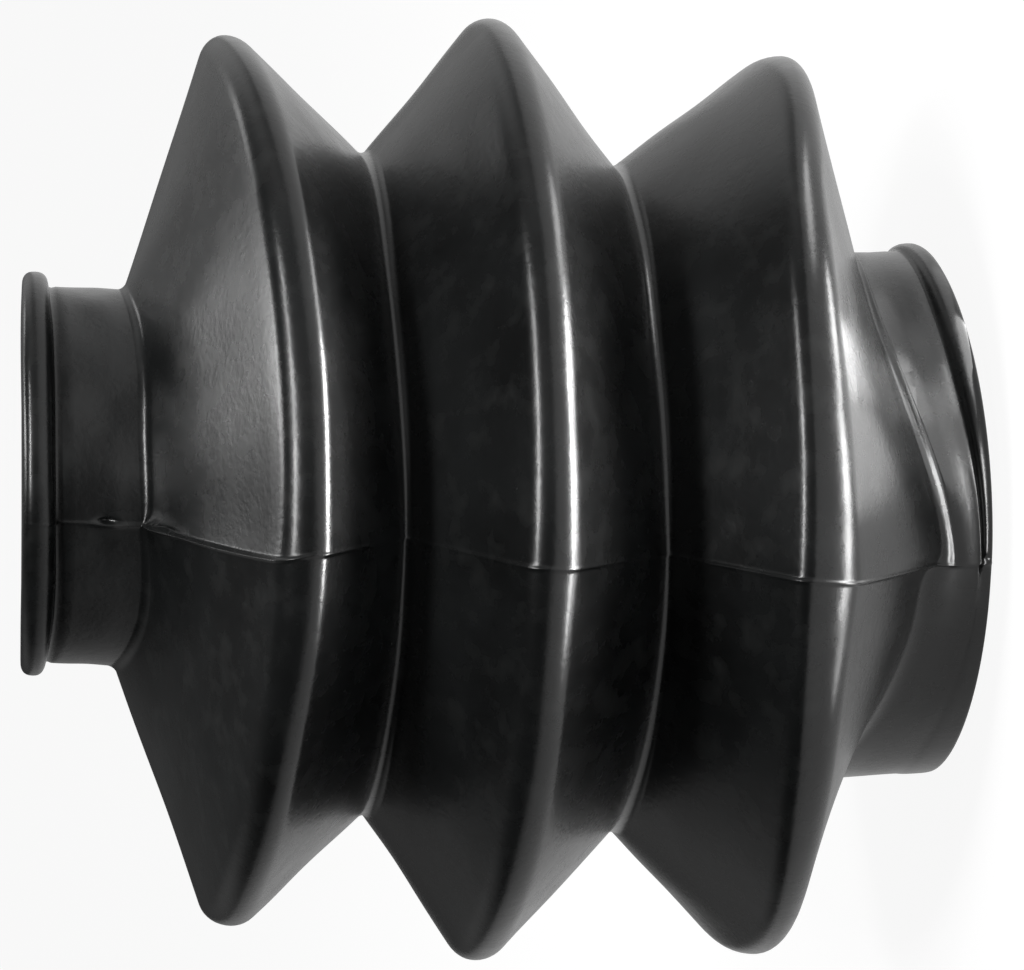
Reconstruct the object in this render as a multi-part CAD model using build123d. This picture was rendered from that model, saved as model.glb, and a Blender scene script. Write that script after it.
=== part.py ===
from build123d import *
from dataclasses import dataclass
from math import acos, atan2, cos, radians, sin
import os

# Rubber bellows boot, moulded in one piece: a large and a small clamp collar joined by a thin
# wall with three folds. Millimetres. The boot is round about Z and stands on the end face of
# its large collar, at z = 0, with the small collar on top.

# Large collar, at the bottom. A collar's length is its straight part, up to the root.
large_bore_diameter = 49.6
large_collar_wall = 2.3
large_collar_length = 7.3
large_bead_width = 2.4
large_bead_height = 0.7

# Small collar, at the top
small_bore_diameter = 33.6
small_collar_wall = 2.2
small_collar_length = 10.1
small_bead_width = 2.8
small_bead_height = 1.4

# Bellows wall, and the radius of its outer face where that is hollow, in a valley or at a root.
# A crest is sharp inside and rounded outside by the wall's own thickness.
bellows_wall = 2.0
valley_outer_radius = 1.2
lower_root_radius = 2.0
upper_root_radius = 1.2

# Diameters over the crests, and in the bottom of the valleys between them
lower_crest_diameter = 92.4
lower_valley_diameter = 68.4
middle_crest_diameter = 96.0
upper_valley_diameter = 67.4
upper_crest_diameter = 90.0

# Rise along Z from the middle of each bend to the next
lower_root_to_lower_crest = 11.7
lower_crest_to_lower_valley = 14.6
lower_valley_to_middle_crest = 13.5
middle_crest_to_upper_valley = 12.4
upper_valley_to_upper_crest = 13.0
upper_crest_to_upper_root = 11.4

# A turn from a crest's land to its flank that is wider than this has a shoulder halfway
widest_plain_turn = radians(45)


# Radii and heights that follow

large_collar_radius = large_bore_diameter / 2 + large_collar_wall
small_collar_radius = small_bore_diameter / 2 + small_collar_wall

lower_root_height = large_collar_length
lower_crest_height = lower_root_height + lower_root_to_lower_crest
lower_valley_height = lower_crest_height + lower_crest_to_lower_valley
middle_crest_height = lower_valley_height + lower_valley_to_middle_crest
upper_valley_height = middle_crest_height + middle_crest_to_upper_valley
upper_crest_height = upper_valley_height + upper_valley_to_upper_crest
upper_root_height = upper_crest_height + upper_crest_to_upper_root
overall_height = upper_root_height + small_collar_length


# The section is drawn in the XZ plane, where X is the radius from the boot's axis

# A circle that the outer face of the wall bends round. Its radius is positive where the centre
# lies inside the wall, as at a crest, and negative where it lies outside, as at a valley or at
# a collar's root.
@dataclass
class Bend:
    centre: Vector
    radius: float


def crest(diameter, height):
    return Bend(Vector(diameter / 2 - bellows_wall, height), bellows_wall)


def valley(diameter, height):
    return Bend(Vector(diameter / 2 + valley_outer_radius, height), -valley_outer_radius)


def root(collar_radius, height, root_radius):
    return Bend(Vector(collar_radius + root_radius, height), -root_radius)


# A straight run of the wall: the angle above level that it faces outward at, how far out its
# outer face lies in that direction, and the wall behind it
@dataclass
class Run:
    angle: float
    reach: float
    wall: float


# The run of the bellows wall that touches a bend and faces a given angle
def run_at(bend, angle):
    facing = Vector(cos(angle), sin(angle))
    return Run(angle, bend.centre.dot(facing) + bend.radius, bellows_wall)


# Angle that the flank between two bends faces. It lies to the right of the step between their
# centres, by the angle whose cosine is the difference of their radii over the step's length.
def flank_angle(first, second):
    step = second.centre - first.centre
    return atan2(step.Y, step.X) - acos((first.radius - second.radius) / step.length)


# Points where each run's line meets the next one's, on the outer face or on the inner face
def corners(runs, inner):
    points = []
    for first, second in zip(runs, runs[1:]):
        first_reach = first.reach - first.wall * inner
        second_reach = second.reach - second.wall * inner
        turn = sin(second.angle - first.angle)
        radius = (first_reach * sin(second.angle) - second_reach * sin(first.angle)) / turn
        height = (second_reach * cos(first.angle) - first_reach * cos(second.angle)) / turn
        points.append((radius, height))
    return points


lower_root = root(large_collar_radius, lower_root_height, lower_root_radius)
upper_root = root(small_collar_radius, upper_root_height, upper_root_radius)
folds = [
    crest(lower_crest_diameter, lower_crest_height),
    valley(lower_valley_diameter, lower_valley_height),
    crest(middle_crest_diameter, middle_crest_height),
    valley(upper_valley_diameter, upper_valley_height),
    crest(upper_crest_diameter, upper_crest_height),
]
bends = [lower_root, *folds, upper_root]
flank_angles = [flank_angle(first, second) for first, second in zip(bends, bends[1:])]


# Angles that the runs round a crest face, outside: a land that faces straight outward, and a
# shoulder on each side where the flank beyond it turns far from the land
def crest_facings(below, above):
    lower_shoulder = [below / 2] if abs(below) > widest_plain_turn else []
    upper_shoulder = [above / 2] if abs(above) > widest_plain_turn else []
    return [*lower_shoulder, 0, *upper_shoulder]


# Runs of the wall from collar to collar. A valley is a land that faces straight outward. Inside,
# the flanks of a crest meet in a corner, and so do a collar and its flank, which have one run
# between them outside, halfway round the root.
large_collar = Run(0, large_collar_radius, large_collar_wall)
small_collar = Run(0, small_collar_radius, small_collar_wall)
outer_runs = [large_collar, run_at(lower_root, flank_angles[0] / 2)]
inner_runs = [large_collar]
for bend, below, above in zip(folds, flank_angles, flank_angles[1:]):
    is_crest = bend.radius > 0
    outer_facings = crest_facings(below, above) if is_crest else [0]
    inner_facings = [] if is_crest else [0]
    outer_runs += [run_at(bend, angle) for angle in [below, *outer_facings]]
    inner_runs += [run_at(bend, angle) for angle in [below, *inner_facings]]
upper_flank = run_at(upper_root, flank_angles[-1])
outer_runs += [upper_flank, run_at(upper_root, flank_angles[-1] / 2), small_collar]
inner_runs += [upper_flank, small_collar]


# Section of a round-backed bead on a collar, with a land half as wide as the bead
def bead(collar_radius, lower_edge, width, height):
    slope = width / 4
    return [
        (collar_radius, lower_edge),
        (collar_radius + height, lower_edge + slope),
        (collar_radius + height, lower_edge + width - slope),
        (collar_radius, lower_edge + width),
    ]


outer_face = [
    *bead(large_collar_radius, 0, large_bead_width, large_bead_height),
    *corners(outer_runs, inner=False),
    *bead(small_collar_radius, overall_height - small_bead_width, small_bead_width, small_bead_height),
]
inner_face = [
    (large_bore_diameter / 2, 0),
    *corners(inner_runs, inner=True),
    (small_bore_diameter / 2, overall_height),
]

with BuildPart() as bellows_boot:
    with BuildSketch(Plane.XZ):
        with BuildLine():
            Polyline(*outer_face, *reversed(inner_face), close=True)
        make_face()
    revolve(axis=Axis.Z)

os.makedirs("parts", exist_ok=True)
export_step(bellows_boot.part, "parts/bellows_boot.step")
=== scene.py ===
import math
import bpy
import numpy as np
from mathutils import Matrix


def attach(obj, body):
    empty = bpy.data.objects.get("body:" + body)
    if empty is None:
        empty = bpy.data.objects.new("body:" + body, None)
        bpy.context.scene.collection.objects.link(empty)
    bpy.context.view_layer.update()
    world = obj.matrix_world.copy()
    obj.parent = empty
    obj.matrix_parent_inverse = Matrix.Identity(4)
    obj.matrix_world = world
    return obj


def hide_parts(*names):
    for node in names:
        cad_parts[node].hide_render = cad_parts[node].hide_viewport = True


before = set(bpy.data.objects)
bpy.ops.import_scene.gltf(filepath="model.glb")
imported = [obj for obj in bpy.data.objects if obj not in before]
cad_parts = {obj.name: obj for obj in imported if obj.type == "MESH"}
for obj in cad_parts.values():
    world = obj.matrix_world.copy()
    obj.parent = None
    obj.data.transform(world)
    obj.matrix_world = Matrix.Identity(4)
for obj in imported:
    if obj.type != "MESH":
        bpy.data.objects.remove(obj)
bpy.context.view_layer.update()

mm = 0.001
print("boot: frame loaded")


# Camera. The boot stands on its large collar and the camera lies on its side, so the collar
# is at the right of the view and the small end at the left.
view = {
    "turnFromMould": 10.5,      # degrees from the mould's parting line round to the camera
    "elevation": 8.905,         # degrees above level
    "roll": 1.708,              # degrees past lying flat
    "distance": 500.0,
    "aimHeight": 44.18,
    "aimSideways": 1.399,
    "focalPixels": 4872.36,
    "frameWidth": 1024,
    "sensorWidth": 36.0,
}

turn, lift, roll = (math.radians(view[k]) for k in ("turnFromMould", "elevation", "roll"))
nearSide = np.array([math.sin(turn), -math.cos(turn), 0.0])
sideways = np.array([math.cos(turn), math.sin(turn), 0.0])
upward = np.array([0.0, 0.0, 1.0])


# A camera looks along the line from where it stands to the boot. Its own axes are that line
# reversed, and the two directions across it, turned by the roll.
def makeCamera(v):
    back = nearSide * math.cos(lift) + upward * math.sin(lift)
    flat = nearSide * math.sin(lift) - upward * math.cos(lift)
    right = flat * math.cos(roll) + sideways * math.sin(roll)
    up = sideways * math.cos(roll) - flat * math.sin(roll)
    place = (upward * v["aimHeight"] + sideways * v["aimSideways"] + back * v["distance"]) * mm
    data = bpy.data.cameras.new("camera")
    data.sensor_width = v["sensorWidth"]
    data.lens = v["focalPixels"] * v["sensorWidth"] / v["frameWidth"]
    data.clip_start, data.clip_end = 0.01, 20.0
    camera = bpy.data.objects.new("camera", data)
    bpy.context.scene.collection.objects.link(camera)
    matrix = np.eye(4)
    matrix[:3, 0], matrix[:3, 1], matrix[:3, 2], matrix[:3, 3] = right, up, back, place
    camera.matrix_world = Matrix(matrix.tolist())
    bpy.context.scene.camera = camera


makeCamera(view)
print("boot: camera set")


# The boot's wall. Lengths are millimetres. Each bend has the radius over its middle, the height
# of its middle, and its own radius, which is negative where the outer face is hollow.
wall = {
    "thickness": 2.0,
    "largeCollar": 2.3,
    "smallCollar": 2.2,
    "largeBead": (2.4, 0.7),       # width and height
    "smallBead": (2.8, 1.4),
    "largeRadius": 27.1,
    "smallRadius": 19.0,
    "beadGroove": 0.05,            # depth of the hollow behind the large bead
    "beadPower": 0.8,              # 1 makes the small bead round, less makes it squarer
    "height": 94.0,
    "largeSeat": (4.4, 5.4),       # heights of the lines round the large clamp seat
    "neck": (84.9, 88.4, 14),      # and round the small one: from, to, how many, and two more
    "neckEnd": (89.4, 90.4),
    "bends": {                     # radius over the bend, height, bend radius
        "lowerRoot": (27.1, 7.3, -1.6),
        "lowerCrest": (46.2, 19.0, 3.0),
        "lowerValley": (34.2, 33.6, -1.2),
        "middleCrest": (48.0, 47.1, 3.0),
        "upperValley": (33.7, 59.5, -1.2),
        "upperCrest": (45.0, 72.5, 2.7),
        "upperRoot": (19.0, 83.9, -1.2),
    },
    "pointsOnBend": 14,
    "pointsOnFlank": 17,
    "pointsOnBead": 15,
    "innerEvery": 4,               # the inner face keeps one point in so many
    "flankCrowding": 1.6,          # more than 1 draws the last flank's points to the small collar
    "columns": 216,
    "columnsAtParting": 60,
    "partingSpread": 1.6,          # degrees over which those lie each side of the line
    # How the soft rubber stands: what each bend has moved by, in the order of the heights. The
    # rise is given as waves round the boot from the near side: once round tilts it, twice makes
    # it a saddle, and so on. The first figure of each row is for the foot.
    "heights": (0.0, 7.3, 19.0, 33.6, 47.1, 59.5, 72.5, 83.9, 94.0),
    "sidewaysShift": (0.0, -0.75, 0.17, 0.36, 0.91, 1.08, 0.92, 0.91, 1.14),
    "evenRise": (0.608, -0.05, 0.79, 0.18, -0.01, 0.18, -0.54, 0.13, -0.01),
    "cosineRise": (
        (0.0, 0.10, 1.20, 0.32, 0.50, 0.03, -0.98, -0.11, 1.01),
        (-0.491, -1.54, 1.00, 0.06, 0.20, -0.17, -1.10, -0.53, -0.05),
        (0.0, -1.64, 0.82, -0.19, -1.06, 0.06, -0.93, -0.05, -0.03),
        (0.0, -0.03, -0.80, 0.07, 0.35, -0.17, 0.23, 0.44, -0.02)),
    "sineRise": (
        (1.395, 0.63, 0.0, 0.83, 0.61, 0.87, 1.27, 0.32, 0.51),
        (0.0, 0.61, 0.58, 0.47, 0.29, 0.46, 0.28, 0.36, 0.0),
        (0.0, 0.34, 0.20, -0.22, -0.05, -0.24, -0.52, 0.19, 0.02),
        (0.0, 0.74, -0.07, 0.21, 0.07, 0.22, 0.23, -0.05, 0.0)),
    "lift": 0.37,                  # brings the lowest edge to the floor
}

# Traces of the two-part mould and of handling. Lengths are millimetres. The first three rows go
# with the wall's heights: degrees that the parting line wanders, how far one half of the mould
# sat above the other, and the raised line of flash.
mould = {
    "twist": (0.2, 1.1, 1.85, 1.8, 1.9, 1.9, 2.2, -3.0, -3.7),
    "step": (0.3, 0.3, 0.3, 0.1, 0.22, 0.1, 0.3, 0.3, 0.3),
    "flash": (0.05, 0.22, 0.20, 0.05, 0.10, 0.05, 0.22, 0.20, 0.0),
    "stepWidth": 0.12,
    "flashWidth": 0.2,
    "joinWidth": 1.2,              # width over which one half's section turns into the other's
    "swelling": 0.45,              # soft swelling on both sides of the line
    "swellingWidth": 6.0,
    "rib": (7.7, 0.42, 0.34),      # rib in the beaded half's lower root: height, half width, rise
    "plainHalfRoot": 1.6,          # the plain half has a wider root by this much
    "plainHalfBead": 0.12,         # share of the large bead that the plain half has
    "fadeAtFoot": 3.0,             # length over which the traces fade in above the foot
    "fadeAtTop": 6.0,              # and out again below the small bead
    "clearOfTop": 2.0,             # how far below the top they have gone
    "ripple": 0.065,               # unevenness of the moulded faces
    "rippleWaves": 26,
    "marks": (                     # height, distance from the parting line, half sizes both ways, rise
        (86.9, 0.35, 0.60, 0.26, -0.45),
        (86.3, -0.20, 1.30, 0.22, 0.26),
        (82.1, 0.20, 0.80, 0.60, 0.85),
        (81.7, 0.35, 0.28, 0.25, -0.80),
        (1.3, 0.60, 0.50, 0.25, -0.35),
    ),
}


# Round of a bend: a point at every angle from start to stop on a circle about a centre
def arcPoints(centre, radius, start, stop, count):
    angle = np.linspace(start, stop, count)
    return centre + radius * np.stack([np.cos(angle), np.sin(angle)], 1), angle


# Angle that the straight flank between two bends faces: that of the step between their centres,
# less the angle whose cosine is the difference of their radii over the step's length
def flankFacing(first, second):
    step = second[0] - first[0]
    return math.atan2(step[1], step[0]) - math.acos((first[1] - second[1]) / np.hypot(*step))


# Outer face from foot to top: point, the angle it faces, and the wall behind it. A bend's points
# are its centre plus its radius times the facing direction, and a flank's are evenly between.
def wallProfile(w, rootExtra):
    rounds = []
    for name, (over, height, radius) in w["bends"].items():
        if name == "lowerRoot":
            radius -= rootExtra
        rounds.append((np.array([over - radius, height]), radius))
    facings = [0.0] + [flankFacing(a, b) for a, b in zip(rounds, rounds[1:])] + [0.0]
    points, angles, walls = [], [], []
    last = len(rounds) - 1
    share = np.linspace(0, 1, w["pointsOnBend"])
    for i, (centre, radius) in enumerate(rounds):
        bend, angle = arcPoints(centre, radius, facings[i], facings[i + 1], w["pointsOnBend"])
        thickness = np.full(w["pointsOnBend"], w["thickness"])
        if i == 0:
            thickness = w["largeCollar"] + (w["thickness"] - w["largeCollar"]) * share
        if i == last:
            thickness = w["thickness"] + (w["smallCollar"] - w["thickness"]) * share
        points.append(bend)
        angles.append(angle)
        walls.append(thickness)
        if i < last:
            following, nextRadius = rounds[i + 1]
            facing = np.array([math.cos(facings[i + 1]), math.sin(facings[i + 1])])
            along = np.linspace(0, 1, w["pointsOnFlank"] + 2)[1:-1, None]
            if i == last - 1:
                along = 1 - (1 - along) ** w["flankCrowding"]
            points.append(bend[-1] + (following + nextRadius * facing - bend[-1]) * along)
            angles.append(np.full(w["pointsOnFlank"], facings[i + 1]))
            walls.append(np.full(w["pointsOnFlank"], w["thickness"]))
    return np.concatenate(points), np.concatenate(angles), np.concatenate(walls)


# Closed section: outer face up, over the small end, inner face down, and under the foot. The
# inner face is the outer one moved in by the wall along the direction it faces, and the small
# bead's round is a superellipse, its sine and cosine raised to a power. beadShare is how much of
# the large bead this half of the mould has. The second result is 1 on the outer face.
def closedSection(w, rootExtra, beadShare):
    outer, angle, thickness = wallProfile(w, rootExtra)
    facing = np.stack([np.cos(angle), np.sin(angle)], 1)
    inner = (outer - facing * thickness[:, None])[::-w["innerEvery"]]
    large, small, top = w["largeRadius"], w["smallRadius"], w["height"]
    wide, high = w["largeBead"][0], w["largeBead"][1] * beadShare
    largeBore = large - w["largeCollar"]
    groove = w["beadGroove"] * beadShare
    foot = np.array([
        (largeBore + 0.3, 0.0), (large - 0.9, 0.0), (large - 0.25, 0.0), (large + high * 0.35, 0.04),
        (large + high * 0.75, 0.22), (large + high * 0.95, 0.55), (large + high, 0.95),
        (large + high * 0.98, wide * 0.62), (large + high * 0.8, wide * 0.80),
        (large + high * 0.4, wide * 0.92), (large - groove * 0.4, wide * 1.02),
        (large - groove, wide * 1.14), (large - groove * 0.6, wide * 1.3),
        (large, wide * 1.5), *((large, height) for height in w["largeSeat"])])
    wide, high = w["smallBead"]
    turned = np.linspace(-0.5 * math.pi, 0.5 * math.pi, w["pointsOnBead"])
    flatter = np.sign(turned) * abs(np.sin(turned)) ** w["beadPower"]
    knob = np.stack([small + high - wide / 2 + wide / 2 * np.cos(turned) ** w["beadPower"],
                     top - wide / 2 + wide / 2 * flatter], 1)
    heights = np.append(np.linspace(*w["neck"]), w["neckEnd"])
    neck = np.stack([np.full(len(heights), small), heights], 1)
    neck = np.append(neck, [(small - 0.12, 90.85), (small - 0.05, top - wide - 0.08)], 0)
    bore = small - w["smallCollar"]
    lip = np.array([(bore + 0.9, top), (bore + 0.3, top - 0.02), (bore + 0.05, top - 0.25),
                    (bore, top - 0.8), (bore, top - 3.5), (bore, top - 7)])
    heel = np.array([(largeBore, 5.0), (largeBore, 2.5), (largeBore, 0.7), (largeBore + 0.06, 0.25)])
    parts = (foot, outer, neck, knob, lip, inner, heel)
    outside = np.concatenate([np.full(len(part), 1.0 * (i < 4)) for i, part in enumerate(parts)])
    outside[:2] = 0
    return np.concatenate(parts), outside


# Columns round the boot, closer together at the two parting lines: equal steps of the running
# total of an even density plus a narrow bell at each line
def columnAngles(w):
    fine = np.linspace(0, 2 * math.pi, 20001)
    away = np.minimum(abs(fine - math.pi / 2), abs(fine - 1.5 * math.pi))
    spread = math.radians(w["partingSpread"])
    bell = np.exp(-(away / spread) ** 2) / (2 * spread * math.sqrt(math.pi))
    density = w["columns"] / (2 * math.pi) + w["columnsAtParting"] * bell
    total = np.concatenate([[0], np.cumsum((density[1:] + density[:-1]) / 2 * np.diff(fine))])
    count = w["columns"] + w["columnsAtParting"]
    return np.interp(np.arange(count) / count * total[-1], total, fine)


# Rise of each point: an even rise, plus waves of 1 to 4 rounds, cosine x cos(n a) + sine x
# sin(n a), where a is the angle from the near side
def settle(w, height, angle):
    rise = w["lift"] + np.interp(height, w["heights"], w["evenRise"]) + 0 * angle
    for n, (cosines, sines) in enumerate(zip(w["cosineRise"], w["sineRise"]), 1):
        rise += np.interp(height, w["heights"], cosines) * np.cos(n * angle)
        rise += np.interp(height, w["heights"], sines) * np.sin(n * angle)
    return rise


# Direction across the section at each point: the step from the point before to the point after,
# turned a quarter to the right
def acrossSection(section):
    step = np.roll(section, -1, 0) - np.roll(section, 1, 0)
    return np.stack([step[..., 1], -step[..., 0]], -1) / np.linalg.norm(step, axis=-1, keepdims=True)


# Unevenness of the faces: a sum of waves with whole numbers of rounds, sin(m a + h z + phase)
def ripple(angle, height, m):
    random = np.random.default_rng(7)
    rounds = random.integers(1, 15, m["rippleWaves"])
    climbs = random.uniform(-0.9, 0.9, m["rippleWaves"])
    phases = random.uniform(0, 2 * math.pi, m["rippleWaves"])
    sizes = 1 / (2 + abs(climbs) * 4 + rounds / 3)
    each = zip(rounds, climbs, phases, sizes)
    waves = sum(size * np.sin(r * angle + c * height + phase) for r, c, phase, size in each)
    return waves / math.sqrt((sizes ** 2).sum() / 2)


# Small marks beside the near parting line: each is rise x a bell in height x a bell across
def markRise(m, height, across):
    total = 0 * across
    for at, beside, tall, broad, rise in m["marks"]:
        total += rise * np.exp(-((height - at) / tall) ** 2 - ((across - beside) / broad) ** 2)
    return total


# Grid of the boot: the section of each half of the mould, joined over the parting plane by a
# smooth step, raised along the parting lines by flash x a narrow bell + swelling x a wider fading
# one, rippled, turned round the axis, and moved by the set of the rubber
def bootGrid(w, m):
    beaded, outside = closedSection(w, 0.0, 1.0)
    plain = closedSection(w, m["plainHalfRoot"], m["plainHalfBead"])[0]
    column = columnAngles(w)[None, :]
    fromParting = beaded[:, :1] * np.cos(column)
    half = 0.5 + 0.5 * np.tanh(fromParting / m["stepWidth"])
    blend = 0.5 + 0.5 * np.tanh(fromParting / m["joinWidth"])
    section = beaded[:, None, :] * blend[..., None] + plain[:, None, :] * (1 - blend[..., None])
    theta = column + np.interp(beaded[:, 1:], w["heights"], np.radians(m["twist"]))
    belowTop = w["height"] - m["clearOfTop"] - section[..., 1]
    fade = np.clip(section[..., 1] / m["fadeAtFoot"], 0, 1) * np.clip(belowTop / m["fadeAtTop"], 0, 1)
    flash = np.interp(beaded[:, 1:], w["heights"], m["flash"])
    raised = flash * np.exp(-(fromParting / m["flashWidth"]) ** 2)
    raised = raised + fade * m["swelling"] * np.exp(-abs(fromParting) / m["swellingWidth"])
    raised = raised + fade * m["ripple"] * ripple(theta, section[..., 1], m)
    raised = raised + markRise(m, section[..., 1], fromParting) * (np.sin(column) < 0)
    at, broad, rise = m["rib"]
    raised = raised + half * rise * np.exp(-((section[..., 1] - at) / broad) ** 2)
    section = section + acrossSection(section) * (raised * outside[:, None])[..., None]
    radius, height = section[..., 0], section[..., 1]
    stepped = np.interp(height, w["heights"], m["step"]) * (0.5 - half) * fade
    rise = settle(w, height, theta - (turn - math.pi / 2)) + stepped
    shift = np.interp(height, w["heights"], w["sidewaysShift"])
    x = radius * np.cos(theta) + shift * sideways[0]
    y = radius * np.sin(theta) + shift * sideways[1]
    return np.stack([x, y, height + rise], 2) * mm


# Mesh from a grid closed both ways: each face joins a point, its neighbour round the boot, and
# the same two on the next line of the section
def meshFromGrid(name, grid):
    lines, columns = grid.shape[:2]
    index = np.arange(lines * columns).reshape(lines, columns)
    nextLine, nextColumn = np.roll(index, -1, 0), np.roll(index, -1, 1)
    faces = np.stack([index, nextColumn, np.roll(nextLine, -1, 1), nextLine], 2).reshape(-1, 4)
    mesh = bpy.data.meshes.new(name)
    mesh.from_pydata(grid.reshape(-1, 3), [], faces)
    mesh.update()
    mesh.shade_smooth()
    return mesh


boot = bpy.data.objects.new("bellowsBoot", meshFromGrid("bellowsBoot", bootGrid(wall, mould)))
bpy.context.scene.collection.objects.link(boot)
print("boot: wall made,", len(boot.data.polygons), "faces")


# Black rubber. Scales are per metre, so 70 makes patches of about 14 mm, and depths are metres.
rubber = {
    "deep": (0.0032, 0.0034, 0.0034),
    "worn": (0.0105, 0.0114, 0.0116),
    "bloom": (0.0145, 0.0153, 0.0151),
    "patchScale": 70.0,
    "smudgeScale": 320.0,
    "grainScale": 1500.0,
    "roughness": (0.235, 0.305),
    "grainDepth": 0.00003,
    "smudgeDepth": 0.00003,
}


# A new node in a tree, with its plain sockets filled in
def addNode(tree, kind, **values):
    node = tree.nodes.new(kind)
    for key, value in values.items():
        if hasattr(node, key):
            setattr(node, key, value)
        else:
            node.inputs[key].default_value = value
    return node


# Colour runs from deep to worn with the patches and towards bloom at the strongest smudges, the
# roughness runs from smooth to dull with the smudges, and smudges and grain raise the bump
def makeRubber(r):
    material = bpy.data.materials.new("blackRubber")
    material.use_nodes = True
    tree = material.node_tree
    shader = tree.nodes["Principled BSDF"]
    link = tree.links.new
    place = addNode(tree, "ShaderNodeTexCoord").outputs["Object"]
    patch = addNode(tree, "ShaderNodeTexNoise", Scale=r["patchScale"], Detail=5.0, Roughness=0.6)
    smudge = addNode(tree, "ShaderNodeTexNoise", Scale=r["smudgeScale"], Detail=4.0, Roughness=0.55)
    grain = addNode(tree, "ShaderNodeTexNoise", Scale=r["grainScale"], Detail=2.0)
    for texture in (patch, smudge, grain):
        link(place, texture.inputs["Vector"])
    share = addNode(tree, "ShaderNodeMapRange")
    share.inputs["From Min"].default_value, share.inputs["From Max"].default_value = 0.35, 0.7
    link(patch.outputs["Fac"], share.inputs["Value"])
    colour = addNode(tree, "ShaderNodeMix", data_type="RGBA")
    colour.inputs[6].default_value = (*r["deep"], 1)
    colour.inputs[7].default_value = (*r["worn"], 1)
    link(share.outputs["Result"], colour.inputs[0])
    dusty = addNode(tree, "ShaderNodeMapRange")
    dusty.inputs["From Min"].default_value, dusty.inputs["From Max"].default_value = 0.52, 0.78
    link(smudge.outputs["Fac"], dusty.inputs["Value"])
    bloomed = addNode(tree, "ShaderNodeMix", data_type="RGBA")
    bloomed.inputs[7].default_value = (*r["bloom"], 1)
    link(dusty.outputs["Result"], bloomed.inputs[0])
    link(colour.outputs[2], bloomed.inputs[6])
    link(bloomed.outputs[2], shader.inputs["Base Color"])
    dull = addNode(tree, "ShaderNodeMapRange")
    dull.inputs["From Min"].default_value, dull.inputs["From Max"].default_value = 0.22, 0.78
    dull.inputs["To Min"].default_value, dull.inputs["To Max"].default_value = r["roughness"]
    link(smudge.outputs["Fac"], dull.inputs["Value"])
    link(dull.outputs["Result"], shader.inputs["Roughness"])
    coarse = addNode(tree, "ShaderNodeBump", Distance=r["smudgeDepth"], Strength=0.6)
    link(smudge.outputs["Fac"], coarse.inputs["Height"])
    fine = addNode(tree, "ShaderNodeBump", Distance=r["grainDepth"], Strength=0.6)
    link(grain.outputs["Fac"], fine.inputs["Height"])
    link(coarse.outputs["Normal"], fine.inputs["Normal"])
    link(fine.outputs["Normal"], shader.inputs["Normal"])
    shader.inputs["IOR"].default_value = 1.5
    return material


boot.data.materials.append(makeRubber(rubber))

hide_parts("bellows_boot")
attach(boot, "root")

# Studio. Directions are given towards the camera, sideways and upward; lengths are millimetres.
studio = {
    "floorColour": (0.8, 0.8, 0.8),
    "floorHalf": 6.0,              # metres
    "floorGlow": 1.15,             # the floor's own white, which makes up for its share of shadow
    "cameraShare": 0.8,            # how much of that white the camera sees
    "glossShare": (0.22, 0.68),    # how much gloss sees at the two ends of a stretch sideways
    "glossStretch": (-0.12, 0.03), # that stretch, in metres
    "level": 0.02,                 # even light from all round
    "glows": (                     # soft glow in a direction, its strength and width
        ((-0.66, 0.72, 0.21), 0.38, 0.045),
        ((-0.89, 0.46, 0.03), 0.31, 0.045),
        ((-0.71, 0.49, 0.50), 0.36, 0.045),
        ((-0.36, 0.85, 0.39), 0.50, 0.045),
        ((-0.54, -0.64, 0.54), 0.20, 0.06),
        ((-0.76, -0.59, 0.26), 0.13, 0.06),
        ((0.16, 0.95, 0.28), 0.48, 0.06),
        ((0.83, 0.44, 0.34), 0.40, 0.06),
        ((-0.92, 0.24, 0.32), 0.20, 0.045),
    ),
    "highLamps": (                 # angle from the near side, degrees up, size, brightness
        (145, 44, (95, 95), 1.9),
        (160, 56, (75, 95), 2.0),
        (160, 68, (75, 95), 8.0),
        (160, 80, (75, 95), 7.0),
        (175, 64, (75, 120), 1.2),
        (0, 50, (115, 30), 44.0),
        (25, 48, (115, 30), 41.0),
        (50, 47, (115, 30), 22.0),
    ),
    "highDistance": 450,           # from the middle of the boot
    "middle": 47,                  # its height
    "frontLamps": ((-10, 20.0), (10, 20.0)),    # small cards facing the foot: angle, brightness
    "frontPlace": (53, 3.6, (16, 6)),           # distance, height, size
    "lowLamps": (                  # lying on the floor: angle, distance, size, spread, brightness
        (-20, 65, (30, 10), 60, 11.0),
        (5, 65, (30, 10), 60, 22.0),
        (30, 65, (30, 10), 60, 38.0),
        (60, 78, (41, 24), 180, 4.0),
        (-20, 51, (24, 6), 180, 4.0),
        (5, 51, (24, 6), 180, 14.0),
        (30, 51, (24, 6), 180, 14.0),
        (20, 37, (26, 18), 180, 1.2),
        (60, 37, (26, 18), 180, 0.4),
        (38, 32, (14, 10), 180, 3.5),
    ),
    "lowHeight": 2,
}


# Direction with the given shares towards the camera, sideways and upward, of length 1
def direction(parts):
    way = nearSide * parts[0] + sideways * parts[1] + upward * parts[2]
    return way / np.linalg.norm(way)


# Level direction at an angle from the near side: near x its cosine + sideways x its sine
def outAt(degrees):
    angle = math.radians(degrees)
    return nearSide * math.cos(angle) + sideways * math.sin(angle)


floorMesh = bpy.data.meshes.new("floor")
corners = np.array([(-1, -1, 0), (1, -1, 0), (1, 1, 0), (-1, 1, 0)]) * studio["floorHalf"]
floorMesh.from_pydata(corners, [], [(0, 1, 2, 3)])
floor = bpy.data.objects.new("floor", floorMesh)
bpy.context.scene.collection.objects.link(floor)


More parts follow.
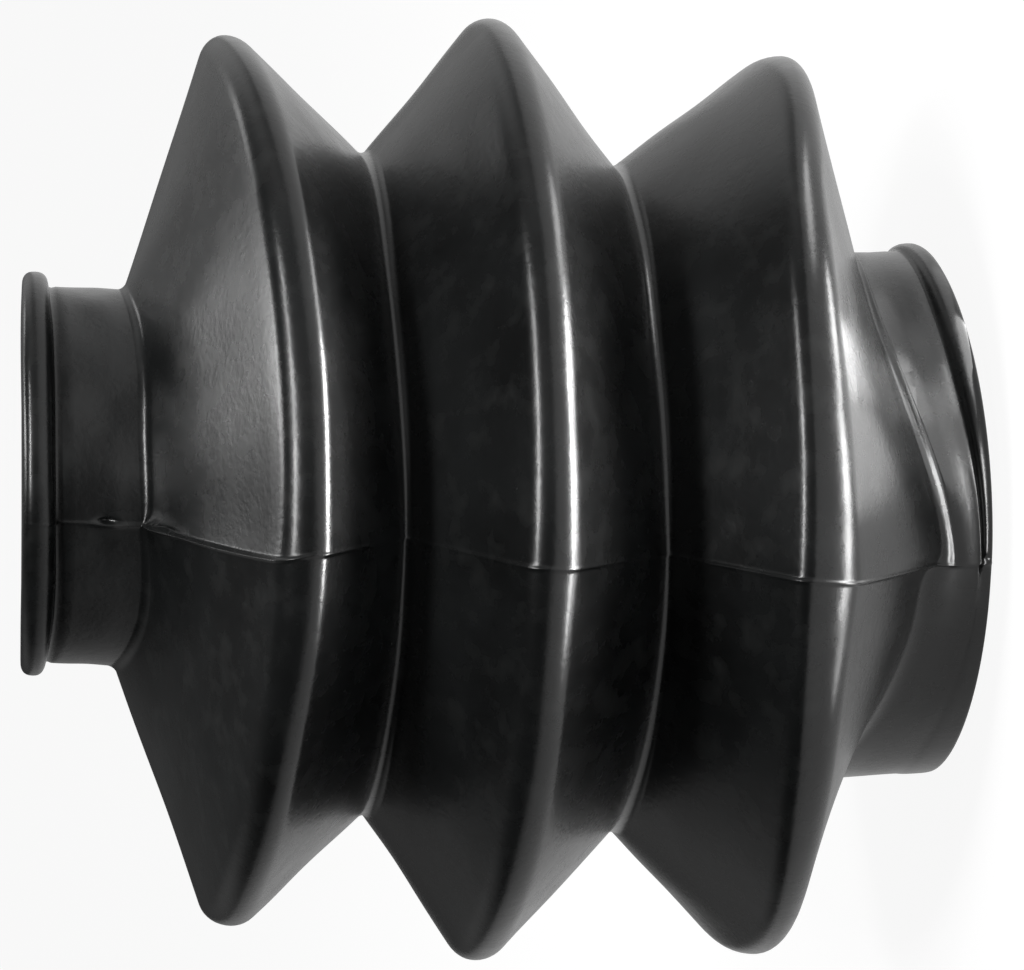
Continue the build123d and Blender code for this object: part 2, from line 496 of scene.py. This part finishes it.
# Floor: a plain pale diffuse, mixed with its own white for the camera and for gloss, by
# camera x its share + gloss x its share, where gloss sees less of it to one side of the boot
def makeFloor(v):
    material = bpy.data.materials.new("paleFloor")
    material.use_nodes = True
    tree = material.node_tree
    tree.nodes.remove(tree.nodes["Principled BSDF"])
    link = tree.links.new
    diffuse = addNode(tree, "ShaderNodeBsdfDiffuse", Color=(*v["floorColour"], 1))
    white = addNode(tree, "ShaderNodeEmission", Color=(1, 1, 1, 1), Strength=v["floorGlow"])
    path = addNode(tree, "ShaderNodeLightPath")
    across = addNode(tree, "ShaderNodeVectorMath", operation="DOT_PRODUCT")
    across.inputs[1].default_value = sideways
    stretch = addNode(tree, "ShaderNodeMapRange", interpolation_type="SMOOTHSTEP")
    ends = ("From Min", "From Max", "To Min", "To Max")
    for end, value in zip(ends, (*v["glossStretch"], *v["glossShare"])):
        stretch.inputs[end].default_value = value
    gloss = addNode(tree, "ShaderNodeMath", operation="MULTIPLY")
    share = addNode(tree, "ShaderNodeMath", operation="MULTIPLY_ADD")
    share.inputs[1].default_value = v["cameraShare"]
    mix = addNode(tree, "ShaderNodeMixShader")
    link(addNode(tree, "ShaderNodeTexCoord").outputs["Object"], across.inputs[0])
    link(across.outputs["Value"], stretch.inputs["Value"])
    link(stretch.outputs["Result"], gloss.inputs[1])
    link(path.outputs["Is Glossy Ray"], gloss.inputs[0])
    link(path.outputs["Is Camera Ray"], share.inputs[0])
    link(gloss.outputs[0], share.inputs[2])
    link(share.outputs[0], mix.inputs[0])
    link(diffuse.outputs[0], mix.inputs[1])
    link(white.outputs[0], mix.inputs[2])
    link(mix.outputs[0], tree.nodes["Material Output"].inputs["Surface"])
    return material


floorMesh.materials.append(makeFloor(studio))


# World: white to the camera, and for the light an even level plus each glow, strength x
# exp((cosine to its direction - 1) / width)
def makeWorld(v):
    world = bpy.data.worlds.new("studio")
    bpy.context.scene.world = world
    world.use_nodes = True
    tree = world.node_tree
    link = tree.links.new
    place = addNode(tree, "ShaderNodeTexCoord").outputs["Generated"]
    total = None
    for towards, strength, width in v["glows"]:
        cosine = addNode(tree, "ShaderNodeVectorMath", operation="DOT_PRODUCT")
        cosine.inputs[1].default_value = direction(towards)
        link(place, cosine.inputs[0])
        away = addNode(tree, "ShaderNodeMath", operation="SUBTRACT")
        away.inputs[1].default_value = 1.0
        link(cosine.outputs["Value"], away.inputs[0])
        scaled = addNode(tree, "ShaderNodeMath", operation="DIVIDE")
        scaled.inputs[1].default_value = width
        link(away.outputs[0], scaled.inputs[0])
        bell = addNode(tree, "ShaderNodeMath", operation="EXPONENT")
        link(scaled.outputs[0], bell.inputs[0])
        glow = addNode(tree, "ShaderNodeMath", operation="MULTIPLY_ADD")
        glow.inputs[1].default_value = strength
        glow.inputs[2].default_value = v["level"]
        link(bell.outputs[0], glow.inputs[0])
        if total is not None:
            link(total, glow.inputs[2])
        total = glow.outputs[0]
    light = tree.nodes["Background"]
    light.inputs["Color"].default_value = (1, 1, 1, 1)
    link(total, light.inputs["Strength"])
    white = addNode(tree, "ShaderNodeBackground", Color=(1, 1, 1, 1), Strength=1.0)
    path = addNode(tree, "ShaderNodeLightPath")
    mix = addNode(tree, "ShaderNodeMixShader")
    link(path.outputs["Is Camera Ray"], mix.inputs[0])
    link(light.outputs[0], mix.inputs[1])
    link(white.outputs[0], mix.inputs[2])
    link(mix.outputs[0], tree.nodes["World Output"].inputs["Surface"])


makeWorld(studio)


# Area lamp at a place, shining along a direction, with its long side along another. Its watts
# are 4 x its area x its brightness.
def makeLamp(name, place, shining, along, size, brightness):
    data = bpy.data.lights.new(name, "AREA")
    data.shape = "RECTANGLE"
    data.size, data.size_y = size[0] * mm, size[1] * mm
    data.energy = 4 * data.size * data.size_y * brightness
    lamp = bpy.data.objects.new(name, data)
    bpy.context.scene.collection.objects.link(lamp)
    back = -np.array(shining)
    matrix = np.eye(4)
    matrix[:3, 0], matrix[:3, 1], matrix[:3, 2] = along, np.cross(back, along), back
    matrix[:3, 3] = place
    lamp.matrix_world = Matrix(matrix.tolist())
    lamp.visible_camera = False
    return lamp


# Lamps go round the boot by angle from the near side: a high one faces the boot's middle, a
# front one faces the foot and a low one lies face up, and both of these show as gloss only
def makeLamps(v):
    for i, (angle, rise, size, brightness) in enumerate(v["highLamps"]):
        out, rise = outAt(angle), math.radians(rise)
        towards = out * math.cos(rise) + upward * math.sin(rise)
        place = towards * v["highDistance"] * mm + upward * v["middle"] * mm
        makeLamp(f"highLamp{i}", place, -towards, np.cross(upward, out), size, brightness)
    distance, height, size = v["frontPlace"]
    for i, (angle, brightness) in enumerate(v["frontLamps"]):
        out = outAt(angle)
        place = (out * distance + upward * height) * mm
        lamp = makeLamp(f"frontLamp{i}", place, -out, np.cross(upward, out), size, brightness)
        lamp.visible_diffuse = False
    for i, (angle, distance, size, spread, brightness) in enumerate(v["lowLamps"]):
        out = outAt(angle)
        place = out * distance * mm + upward * v["lowHeight"] * mm
        lamp = makeLamp(f"lowLamp{i}", place, upward, np.cross(upward, out), size, brightness)
        lamp.data.shape = "ELLIPSE"
        lamp.data.spread = math.radians(spread)
        lamp.visible_diffuse = False


makeLamps(studio)
print("boot: studio made")
bpy.context.scene.view_settings.view_transform = "Standard"
